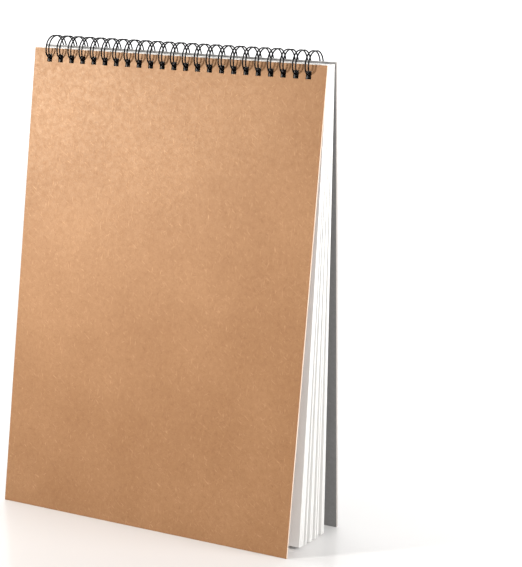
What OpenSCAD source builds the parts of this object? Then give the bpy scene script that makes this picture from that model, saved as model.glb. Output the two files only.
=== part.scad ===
// Top-bound sketchbook, standing open on its foot edges like a narrow tent.
// Two cover boards and fifty loose sheets are punched along their top edge and
// held by one twin-loop wire. X runs along the binding, the front cover faces
// -Y, Z is up. The origin is on the table, at the middle of the footprint.

/* [Covers] */
// Width of both covers, along the binding
cover_w = 210; // [206:0.5:230]
// Height of both covers, from the bound edge to the foot
cover_h = 297; // [280:0.5:330]
// Thickness of the front cover board
front_cover_t = 1.2; // [0.8:0.1:1.4]
// Thickness of the back cover board
back_cover_t = 1.8; // [1.2:0.1:1.9]
// Lean of the front cover from the vertical, foot forward (degrees)
front_lean = 6.86; // [6:0.01:9]
// Lean of the back cover from the vertical, foot backward (degrees)
back_lean = 4.17; // [3:0.01:5]

/* [Sheets] */
// Amount by which each side of a sheet stops short of the covers
side_inset = 0.7; // [0:0.1:3]
// Amount by which the sheets are shorter than the covers
foot_inset = 2.8; // [2.6:0.1:12]
// Thickness of one sheet of drawing paper
sheet_t = 0.17; // [0.1:0.01:0.17]
// Sheets in each group that is turned together
group_sheets = 5; // [1:1:5]
// Angle between one sheet and the next inside a group (degrees)
sheet_fan = 0.03; // [0:0.01:0.04]

/* [Punching] */
// Distance from a cover's bound edge to the near side of its holes
cover_hole_margin = 3.9; // [3.8:0.1:4]
// Distance from a sheet's bound edge to the near side of its holes
sheet_hole_margin = 4.3; // [4.1:0.1:4.6]
// Height of each hole, away from the bound edge
hole_h = 4.9; // [4.9:0.1:6]
// Width of each hole, along the bound edge
hole_w = 3.6; // [3.4:0.1:4.5]

/* [Wire] */
// Number of twin loops
loop_count = 23; // [5:1:23]
// Half the depth of a loop, from front to back, to the middle of the wire
loop_reach = 9.85; // [9.8:0.05:10]
// Radius of a loop's two upper corners, to the middle of the wire
upper_r = 8.9; // [8.8:0.05:9.1]
// Radius of a loop's two lower corners, to the middle of the wire
lower_r = 5.5; // [5.4:0.05:5.6]
// Diameter of the wire
wire_d = 0.9; // [0.7:0.05:0.9]
// Distance between the two wires of a twin loop
twin_gap = 2.1; // [1.8:0.05:2.2]
// Distance from the front cover's face back to the hinge line
hinge_depth = 3.8; // [3.7:0.05:3.9]

/* [Hidden] */
sheet_name = function (i) str("sheet_", i < 9 ? "0" : "", i + 1);

// Lean of each group's first sheet (degrees, negative is foot forward).
// The sheets hang in clumps: fifteen, five, ten, five, five and ten.
group_lean = [-3.7, -3.5, -3.3, -2.6, -1.7, -1.5, -0.7, -0.3, 0.7, 0.9];
group_count = len(group_lean);
sheet_count = group_count * group_sheets;

// Distance between neighbouring holes: three to the inch, to a hundredth.
loop_pitch = 8.47;
function loop_x(i) = (i - (loop_count - 1) / 2) * loop_pitch;

// Every leaf turns about one hinge line, which runs close to the bound edges.
// Depths are measured back from that line, square to a leaf's face.
sheet_gap = 0.01;
group_gap = 0.085;
front_gap = 0.2;
back_gap = 0.25;
group_t = group_sheets * (sheet_t + sheet_gap) - sheet_gap;
first_sheet_depth = front_cover_t - hinge_depth + front_gap;
block_t = group_count * (group_t + group_gap) - group_gap;
back_inner = first_sheet_depth + block_t + back_gap;
back_outer = back_inner + back_cover_t;

// How far each leaf's bound edge stands above the hinge line, or below it where
// negative. The sheets stand higher than the front cover, and their wider margin
// brings the holes level. The back cover leans less than the front one, so it
// stands highest of all.
front_top = -0.73;
sheet_top = -0.3;
hinge_z = (cover_h - front_top) * cos(front_lean)
        - (hinge_depth - front_cover_t) * sin(front_lean);
back_top = cover_h - (hinge_z + back_inner * sin(back_lean)) / cos(back_lean);

// The hinge line sits where the two feet are equally far from the origin.
front_reach = hinge_depth * cos(front_lean)
            + (cover_h - front_top) * sin(front_lean);
back_reach = back_outer * cos(back_lean)
           + (cover_h - back_top) * sin(back_lean);
hinge_y = (front_reach - back_reach) / 2;

// The loops' centre lies behind and below the hinge line. Seen from the side a
// loop is round above that centre and flattened below it: two large corners
// and two small ones, with straight wire across the top and the bottom.
centre_back = 2.5;
centre_drop = 1.5;
upper_mid = loop_reach - upper_r;
lower_mid = loop_reach - lower_r;

// Angles round a corner are counted from straight back, over the top, to the
// front. A loop starts at the spine, behind the back cover, and runs over the
// top and down through the holes, until its closed tip nearly meets the spine.
// Both angles come from right triangles whose sides are whole numbers, so that
// the bends meet the loops face to face, with no rounding between them.
root_angle = atan2(237, 3116);
tip_angle = -atan2(336, 527);
gap_reach = 20;
root_bend_r = 1;
cut_end = 1;
spine_bar = loop_pitch - twin_gap - 2 * root_bend_r;

$fn = 48;
kraft = "#c9976c";
board_grey = "#6f6d6c";
paper = "#f6f3ef";
black_wire = "#141414";

// A flat leaf in the XZ plane, foot at z = 0, with its row of punched holes.
module punched_leaf(w, h, t, margin) {
    translate([0, t, 0])
        rotate([90, 0, 0])
            linear_extrude(t)
                difference() {
                    translate([-w / 2, 0])
                        square([w, h]);
                    for (i = [0:loop_count - 1])
                        translate([loop_x(i) - hole_w / 2, h - margin - hole_h])
                            square([hole_w, hole_h]);
                }
}

// Hangs a leaf on the hinge line: depth is its front face behind that line, top
// its bound edge above it, and lean turns its foot backward.
module hang_leaf(w, h, t, margin, depth, top, lean) {
    translate([0, hinge_y, hinge_z])
        rotate([lean, 0, 0])
            translate([0, depth, top - h])
                punched_leaf(w, h, t, margin);
}

module front_cover() {
    color(kraft)
        hang_leaf(
            cover_w, cover_h, front_cover_t, cover_hole_margin,
            -hinge_depth, front_top, -front_lean
        );
}

module back_cover() {
    color(board_grey)
        hang_leaf(
            cover_w, cover_h, back_cover_t, cover_hole_margin,
            back_inner, back_top, back_lean
        );
}

// Sheet i, counted from the front cover.
module sheet(i) {
    group = floor(i / group_sheets);
    place = i % group_sheets;
    depth = first_sheet_depth + group * (group_t + group_gap)
          + place * (sheet_t + sheet_gap);
    color(paper)
        hang_leaf(
            cover_w - 2 * side_inset, cover_h - foot_inset, sheet_t, sheet_hole_margin,
            depth, sheet_top, group_lean[group] + place * sheet_fan
        );
}

// A bend in the wire, of radius r, in the XY plane.
module wire_bend(r, start, turn) {
    rotate_extrude(angle = turn, start = start)
        translate([r, 0])
            circle(d = wire_d);
}

// Puts its children on one of a loop's back corners at the given angle, with
// their XY plane flat against the loop: X stays along the binding and Y points
// on round the loop.
module on_corner(x, mid, r, angle) {
    translate([0, mid, 0])
        rotate([angle, 0, 0])
            translate([x, r, 0])
                rotate([90, 0, 0])
                    children();
}

// One rounded corner of a loop, a quarter turn from the start angle on.
module corner(mid, r, start) {
    translate([0, mid, 0])
        rotate([90, 0, 90])
            wire_bend(r, start, 90);
}

// Straight wire across the top or the bottom of a loop.
module straight(mid, z) {
    translate([0, -mid, z])
        rotate([-90, 0, 0])
            cylinder(d = wire_d, h = 2 * mid);
}

// The gap between a loop's tip and its root, as a wedge about a corner's middle
// that reaches well past the wire.
module loop_gap(mid) {
    translate([-wire_d, mid, 0])
        rotate([90, 0, 90])
            linear_extrude(2 * wire_d)
                polygon([
                    [0, 0],
                    gap_reach * [cos(root_angle), sin(root_angle)],
                    gap_reach * [cos(tip_angle), sin(tip_angle)]
                ]);
}

// One wire of a twin loop, all the way round from its root to its tip.
module loop_wire() {
    difference() {
        corner(upper_mid, upper_r, 0);
        loop_gap(upper_mid);
    }
    straight(upper_mid, upper_r);
    corner(-upper_mid, upper_r, 90);
    corner(-lower_mid, lower_r, 180);
    straight(lower_mid, -lower_r);
    difference() {
        corner(lower_mid, lower_r, 270);
        loop_gap(lower_mid);
    }
}

// A straight length of the spine, level with the ends of the root bends.
module spine_wire(x, length) {
    on_corner(x, upper_mid, upper_r, root_angle)
        translate([0, -root_bend_r, 0])
            rotate([0, 90, 0])
                cylinder(d = wire_d, h = length);
}

// One twin loop: two wires side by side, the bend that joins them at the tip
// and the two bends that turn them into the spine.
module twin_loop() {
    for (side = [-1, 1])
        translate([side * twin_gap / 2, 0, 0])
            loop_wire();
    on_corner(0, lower_mid, lower_r, tip_angle)
        wire_bend(twin_gap / 2, 0, 180);
    on_corner(twin_gap / 2 + root_bend_r, upper_mid, upper_r, root_angle)
        wire_bend(root_bend_r, 180, 90);
    on_corner(-twin_gap / 2 - root_bend_r, upper_mid, upper_r, root_angle)
        wire_bend(root_bend_r, 270, 90);
}

// One continuous wire: the twin loops, the spine between them and a short cut
// end at each side of the book.
module twin_loop_wire() {
    root_x = twin_gap / 2 + root_bend_r;
    color(black_wire)
        translate([0, hinge_y + centre_back, hinge_z - centre_drop])
            union() {
                for (i = [0:loop_count - 1])
                    translate([loop_x(i), 0, 0])
                        twin_loop();
                for (i = [0:loop_count - 2])
                    translate([loop_x(i), 0, 0])
                        spine_wire(root_x, spine_bar);
                translate([loop_x(0), 0, 0])
                    spine_wire(-root_x - cut_end, cut_end);
                translate([loop_x(loop_count - 1), 0, 0])
                    spine_wire(root_x, cut_end);
            }
}

front_cover();
back_cover();
twin_loop_wire();
for (i = [0:sheet_count - 1])
    sheet(i);
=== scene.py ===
import math

import bpy
from mathutils import Matrix, Vector

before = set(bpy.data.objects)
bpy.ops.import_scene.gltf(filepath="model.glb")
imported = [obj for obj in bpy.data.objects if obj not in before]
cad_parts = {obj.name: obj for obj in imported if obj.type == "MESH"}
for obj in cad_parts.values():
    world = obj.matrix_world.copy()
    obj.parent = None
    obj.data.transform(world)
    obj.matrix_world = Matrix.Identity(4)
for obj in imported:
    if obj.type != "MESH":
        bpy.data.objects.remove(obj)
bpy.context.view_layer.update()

# Lengths are in metres, and colours are linear red, green and blue.

# Leans of the two covers in the CAD model, foot forward or backward.
FRONT_LEAN = math.radians(-6.86)
BACK_LEAN = math.radians(4.17)

WHITE = (1.0, 1.0, 1.0)
BLACK = (0.0, 0.0, 0.0)

KRAFT = (0.311, 0.153, 0.067)
KRAFT_DARK = (0.170, 0.068, 0.026)
KRAFT_LIGHT = (0.620, 0.360, 0.190)
KRAFT_EDGE = (0.740, 0.610, 0.510)
KRAFT_GLOSS = 0.32
KRAFT_TINT = (1.0, 0.92, 0.76)

GREY_FACE = (0.222, 0.218, 0.214)
GREY_DARK = (0.125, 0.122, 0.120)
GREY_LIGHT = (0.330, 0.325, 0.320)
GREY_EDGE = (0.400, 0.360, 0.330)
GREY_GLOSS = 0.4

PAPER = (0.900, 0.888, 0.868)
PAPER_DARK = (0.790, 0.770, 0.740)
PAPER_GLOSS = 0.3

WIRE = (0.004, 0.004, 0.005)
WIRE_WORN = (0.020, 0.020, 0.019)
WIRE_GLOSS = 0.06

# The sheets take these shades in an order that keeps like ones apart.
PAPER_SHADES = (1.0, 0.97, 0.985, 0.955)
SHADE_STEP = 7

# The heights between which every punched hole lies, how far the row stays
# within to each side, and the width over which the painted shade on the holes' walls
# begins.
HOLES_LOW = 0.2850
HOLES_HIGH = 0.2926
HOLES_REACH = 0.100
HOLES_FADE = 0.0001
# Painted shade: the near-black laid on the walls of the punched holes, where light hardly
# reaches.
HOLE_PAINTED_SHADE = (0.012, 0.010, 0.009)

# Turns of the fibres in a leaf's plane, in degrees.
DARK_FIBRE_TURNS = (14.0, 68.0, 121.0, 163.0)
PALE_FIBRE_TURNS = (35.0, 88.0, 142.0)

FLOOR_SIZE = 60.0
FLOOR = (0.775, 0.763, 0.752)
FLOOR_PALE = (0.785, 0.773, 0.762)
FLOOR_IOR = 1.16
FLOOR_ROUGH = 0.12

CARD_PLACE = (-1.5, 3.2, 2.2)
CARD_SIZE = (8.6, 6.0, 1.0)
CARD_TURN = 20.0
CARD_GLOW = 1.5
WORLD_GLOW = 0.40

# Each lamp's place, the point it faces, its width and its power in watts.
KEY_LAMP = ((-0.64, -0.72, 0.42), (-0.05, 0.0, 0.23), 0.12, 0.88)
KEY_COLOUR = (1.0, 0.98, 0.94)
KEY_SPREAD = 50.0
SOFT_LAMPS = {
    "left": ((-1.20, -0.12, 0.45), (-0.05, 0.0, 0.05), 0.6, 9.5),
    "fill": ((1.15, -0.85, 0.42), (0.10, 0.0, 0.12), 0.9, 8.6),
    "side": ((1.20, 0.10, 0.56), (0.10, 0.02, 0.08), 0.8, 12.2),
    "far": ((-1.40, 2.60, 1.90), (-1.30, 2.20, 0.00), 2.0, 38.0),
}

# The camera's place, its turns in degrees, and its lens in millimetres.
CAMERA_PLACE = (0.56669, -0.93202, 0.37345)
CAMERA_YAW = 28.329
CAMERA_PITCH = 11.428
CAMERA_ROLL = 1.346
LENS = 111.65
SENSOR = 36.0
CLIP = (0.05, 100.0)


class Shader:
    """A material's node tree, built with short calls."""

    def __init__(self, name):
        self.material = bpy.data.materials.new(name)
        self.material.use_nodes = True
        self.tree = self.material.node_tree
        self.tree.nodes.clear()
        output = self.tree.nodes.new("ShaderNodeOutputMaterial")
        self.surface = self.tree.nodes.new("ShaderNodeBsdfPrincipled")
        self.link(self.surface.outputs["BSDF"], output.inputs["Surface"])
        self.place = self.tree.nodes.new("ShaderNodeTexCoord").outputs

    def link(self, source, target):
        self.tree.links.new(source, target)

    def put(self, value, socket):
        """Links a socket, or sets a plain value."""
        if isinstance(value, bpy.types.NodeSocket):
            self.link(value, socket)
        elif isinstance(value, tuple) and len(socket.default_value) == 4:
            socket.default_value = (*value, 1.0)
        else:
            socket.default_value = value

    def mapped(self, where, kind="POINT", **settings):
        """Passes a vector through one mapping node."""
        node = self.tree.nodes.new("ShaderNodeMapping")
        node.vector_type = kind
        for setting, value in settings.items():
            node.inputs[setting].default_value = value
        self.link(where, node.inputs["Vector"])
        return node.outputs["Vector"]

    def parted(self, where):
        """The X, Y and Z of a vector, by letter."""
        node = self.tree.nodes.new("ShaderNodeSeparateXYZ")
        self.link(where, node.inputs["Vector"])
        return node.outputs

    def spot(self, turn=0.0, stretch=(1.0, 1.0, 1.0), lean=0.0):
        """Object coordinates, laid flat on a leaf, turned in it and stretched."""
        flat = self.mapped(self.place["Object"], Rotation=(-lean, 0.0, 0.0))
        turned = self.mapped(flat, Rotation=(0.0, math.radians(turn), 0.0))
        return self.mapped(turned, Scale=stretch)

    def noise(self, where, scale, detail=2.0, rough=0.5):
        """Smooth noise, about one half on the whole."""
        node = self.tree.nodes.new("ShaderNodeTexNoise")
        node.inputs["Scale"].default_value = scale
        node.inputs["Detail"].default_value = detail
        node.inputs["Roughness"].default_value = rough
        self.link(where, node.inputs["Vector"])
        return node.outputs["Fac"]

    def span(self, value, low, high, to_low=0.0, to_high=1.0):
        """Stretches low..high over to_low..to_high, and holds the ends."""
        node = self.tree.nodes.new("ShaderNodeMapRange")
        node.inputs["From Min"].default_value = low
        node.inputs["From Max"].default_value = high
        node.inputs["To Min"].default_value = to_low
        node.inputs["To Max"].default_value = to_high
        self.link(value, node.inputs["Value"])
        return node.outputs["Result"]

    def joined(self, kind, values):
        """Takes the values together with one kind of sum, from left to right."""
        total = values[0]
        for value in values[1:]:
            node = self.tree.nodes.new("ShaderNodeMath")
            node.operation = kind
            self.put(total, node.inputs[0])
            self.put(value, node.inputs[1])
            total = node.outputs[0]
        return total

    def added(self, *values):
        return self.joined("ADD", values)

    def times(self, *values):
        return self.joined("MULTIPLY", values)

    def most(self, *values):
        return self.joined("MAXIMUM", values)

    def blend(self, share, first, second):
        """The first colour, with a share of the second."""
        node = self.tree.nodes.new("ShaderNodeMix")
        node.data_type = "RGBA"
        self.put(share, node.inputs["Factor"])
        self.put(first, node.inputs["A"])
        self.put(second, node.inputs["B"])
        return node.outputs["Result"]

    def cut_edge(self, lean):
        """One on the cut edges of a leaf, and nought on its two faces."""
        turned = self.mapped(self.place["Normal"], "NORMAL", Rotation=(-lean, 0.0, 0.0))
        through = self.parted(turned)["Y"]
        return self.span(self.times(through, through), 0.3, 0.7, 1.0, 0.0)

    def painted_hole_shade(self, lean=0.0):
        """One on the walls of the punched holes, where shade is painted, and nought
        elsewhere.
        """
        here = self.parted(self.place["Object"])
        reach = HOLES_REACH ** 2
        inside = self.span(self.times(here["X"], here["X"]), reach, 1.02 * reach, 1.0, 0.0)
        above = self.span(here["Z"], HOLES_LOW, HOLES_LOW + HOLES_FADE)
        below = self.span(here["Z"], HOLES_HIGH, HOLES_HIGH + HOLES_FADE, 1.0, 0.0)
        return self.times(inside, above, below, self.cut_edge(lean))

    def bump(self, height, distance, strength):
        """Roughens the surface by a height, in metres at full strength."""
        node = self.tree.nodes.new("ShaderNodeBump")
        node.inputs["Strength"].default_value = strength
        node.inputs["Distance"].default_value = distance
        self.link(height, node.inputs["Height"])
        self.link(node.outputs["Normal"], self.surface.inputs["Normal"])

    def finish(self, colour, rough, gloss, tint=WHITE):
        """Sets the surface and gives back the material."""
        self.put(colour, self.surface.inputs["Base Color"])
        self.put(tint, self.surface.inputs["Specular Tint"])
        self.put(rough, self.surface.inputs["Roughness"])
        self.surface.inputs["Specular IOR Level"].default_value = gloss
        return self.material


def fibres(shader, lean, turns, along, across, floor):
    """Short fibres lying in the leaf's plane, at several turns."""
    strands = []
    for i, turn in enumerate(turns):
        where = shader.spot(turn, (along, 60.0 + 7.0 * i, across), lean)
        strands.append(shader.span(shader.noise(where, 1.0, 1.0), floor, floor + 0.12))
    return shader.most(*strands)


def board(name, lean, face, dark, light, edge, gloss, tint=WHITE):
    """Pressed board: mottled pulp with dark and pale fibres, paler where cut."""
    shader = Shader(name)
    here = shader.spot(lean=lean)
    cloud = shader.noise(here, 22.0, 3.0)
    mottle = shader.noise(here, 420.0, 3.0, 0.6)
    grain = shader.noise(here, 1500.0, 2.0, 0.6)
    dark_fibres = fibres(shader, lean, DARK_FIBRE_TURNS, 230.0, 1700.0, 0.66)
    pale_fibres = fibres(shader, lean, PALE_FIBRE_TURNS, 210.0, 1500.0, 0.67)
    tone = shader.blend(shader.span(cloud, 0.3, 0.7, 0.0, 0.16), face, light)
    tone = shader.blend(shader.span(mottle, 0.35, 0.7, 0.0, 0.20), tone, dark)
    tone = shader.blend(shader.span(grain, 0.5, 0.8, 0.0, 0.28), tone, dark)
    tone = shader.blend(shader.times(dark_fibres, 0.30), tone, dark)
    tone = shader.blend(shader.times(pale_fibres, 0.34), tone, light)
    layers = shader.noise(shader.spot(0.0, (40.0, 4200.0, 40.0), lean), 1.0)
    cut = shader.blend(shader.span(layers, 0.3, 0.7, 0.0, 0.35), edge, face)
    tone = shader.blend(shader.cut_edge(lean), tone, cut)
    # Painted shade: the walls of the punched holes in the board are darkened to near
    # black.
    tone = shader.blend(shader.painted_hole_shade(lean), tone, HOLE_PAINTED_SHADE)
    rough = shader.span(mottle, 0.3, 0.7, 0.44, 0.56)
    height = shader.added(mottle, shader.times(grain, 0.5), shader.times(pale_fibres, 0.4))
    shader.bump(height, 0.00006, 0.7)
    return shader.finish(tone, rough, gloss, tint)


def drawing_paper(name, shade):
    """Matt drawing paper with a fine tooth, in one of a few close whites."""
    shader = Shader(name)
    here = shader.spot()
    tooth = shader.noise(here, 1300.0, 3.0, 0.6)
    cloud = shader.noise(here, 35.0)
    white = tuple(c * shade for c in PAPER)
    dull = tuple(c * shade for c in PAPER_DARK)
    tone = shader.blend(shader.span(tooth, 0.45, 0.75, 0.0, 0.22), white, dull)
    tone = shader.blend(shader.span(cloud, 0.35, 0.7, 0.0, 0.12), tone, dull)
    # Painted shade: the walls of the punched holes in the sheet are darkened to near
    # black.
    tone = shader.blend(shader.painted_hole_shade(), tone, HOLE_PAINTED_SHADE)
    rough = shader.span(tooth, 0.3, 0.7, 0.82, 0.94)
    shader.bump(tooth, 0.00004, 0.6)
    return shader.finish(tone, rough, PAPER_GLOSS)


def coated_wire(name):
    """Black coated steel wire, satin, with faint rubbed places."""
    shader = Shader(name)
    here = shader.spot()
    rub = shader.span(shader.noise(here, 260.0, 3.0, 0.6), 0.58, 0.74)
    ripple = shader.noise(here, 1800.0)
    tone = shader.blend(shader.times(rub, 0.6), WIRE, WIRE_WORN)
    satin = shader.span(ripple, 0.3, 0.7, 0.20, 0.30)
    rough = shader.added(satin, shader.times(rub, 0.15))
    shader.bump(ripple, 0.00002, 0.5)
    return shader.finish(tone, rough, WIRE_GLOSS)


def studio_floor():
    """A wide pale floor with a faint gloss."""
    bpy.ops.mesh.primitive_plane_add(size=FLOOR_SIZE, location=(0.0, 0.0, 0.0))
    floor = bpy.context.object
    floor.name = "studio_floor"
    shader = Shader("pale_floor")
    haze = shader.span(shader.noise(shader.spot(), 3.0), 0.3, 0.7)
    tone = shader.blend(haze, FLOOR, FLOOR_PALE)
    shader.surface.inputs["IOR"].default_value = FLOOR_IOR
    floor.data.materials.append(shader.finish(tone, FLOOR_ROUGH, 0.5))


def backdrop():
    """A white card far behind the book, which glows."""
    bpy.ops.mesh.primitive_plane_add(size=1.0, location=CARD_PLACE)
    card = bpy.context.object
    card.name = "backdrop"
    card.scale = CARD_SIZE
    card.rotation_euler = (math.radians(90.0), 0.0, math.radians(CARD_TURN))
    shader = Shader("backdrop_white")
    shader.put(WHITE, shader.surface.inputs["Emission Color"])
    shader.put(CARD_GLOW, shader.surface.inputs["Emission Strength"])
    card.data.materials.append(shader.finish(BLACK, 0.9, 0.0))


def area_light(name, place, target, size, power, colour=WHITE, spread=180.0):
    """A round lamp of the given width, facing the target."""
    data = bpy.data.lights.new(name, "AREA")
    data.shape = "DISK"
    data.size = size
    data.energy = power
    data.color = colour
    data.spread = math.radians(spread)
    lamp = bpy.data.objects.new(name, data)
    bpy.context.scene.collection.objects.link(lamp)
    lamp.location = place
    lamp.rotation_mode = "QUATERNION"
    aim = Vector(target) - Vector(place)
    lamp.rotation_quaternion = aim.to_track_quat("-Z", "Y")


def studio_light():
    """An even white world, a narrow warm key lamp and four soft ones."""
    world = bpy.data.worlds.new("studio_world")
    world.use_nodes = True
    back = world.node_tree.nodes["Background"]
    back.inputs["Color"].default_value = (*WHITE, 1.0)
    back.inputs["Strength"].default_value = WORLD_GLOW
    bpy.context.scene.world = world
    area_light("key", *KEY_LAMP, KEY_COLOUR, KEY_SPREAD)
    for name, lamp in SOFT_LAMPS.items():
        area_light(name, *lamp)


def photo_camera():
    """Stands where the photograph was taken from."""
    turns = (CAMERA_YAW, CAMERA_PITCH, CAMERA_ROLL)
    yaw, pitch, roll = (math.radians(turn) for turn in turns)
    forward = Vector((
        -math.sin(yaw) * math.cos(pitch),
        math.cos(yaw) * math.cos(pitch),
        -math.sin(pitch),
    ))
    level = Vector((math.cos(yaw), math.sin(yaw), 0.0))
    rise = level.cross(forward)
    right = math.cos(roll) * level + math.sin(roll) * rise
    up = math.cos(roll) * rise - math.sin(roll) * level
    data = bpy.data.cameras.new("camera")
    data.sensor_width = SENSOR
    data.lens = LENS
    data.clip_start, data.clip_end = CLIP
    camera = bpy.data.objects.new("camera", data)
    bpy.context.scene.collection.objects.link(camera)
    turn = Matrix((right, up, -forward)).transposed()
    camera.matrix_world = Matrix.Translation(CAMERA_PLACE) @ turn.to_4x4()
    bpy.context.scene.camera = camera


def dress(node, material):
    """Gives a CAD piece its material in every slot."""
    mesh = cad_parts[node].data
    if not mesh.materials:
        mesh.materials.append(material)
    for slot in range(len(mesh.materials)):
        mesh.materials[slot] = material


kraft = board(
    "kraft_board", FRONT_LEAN, KRAFT, KRAFT_DARK, KRAFT_LIGHT, KRAFT_EDGE,
    KRAFT_GLOSS, KRAFT_TINT,
)
grey = board(
    "grey_board", BACK_LEAN, GREY_FACE, GREY_DARK, GREY_LIGHT, GREY_EDGE,
    GREY_GLOSS,
)
papers = [
    drawing_paper(f"drawing_paper_{i}", shade)
    for i, shade in enumerate(PAPER_SHADES)
]
dress("front_cover", kraft)
dress("back_cover", grey)
dress("twin_loop_wire", coated_wire("black_wire"))
sheets = sorted(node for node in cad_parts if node.startswith("sheet_"))
for i, sheet in enumerate(sheets):
    dress(sheet, papers[i * SHADE_STEP % len(papers)])

studio_floor()
backdrop()
studio_light()
photo_camera()
bpy.context.scene.view_settings.view_transform = "Standard"
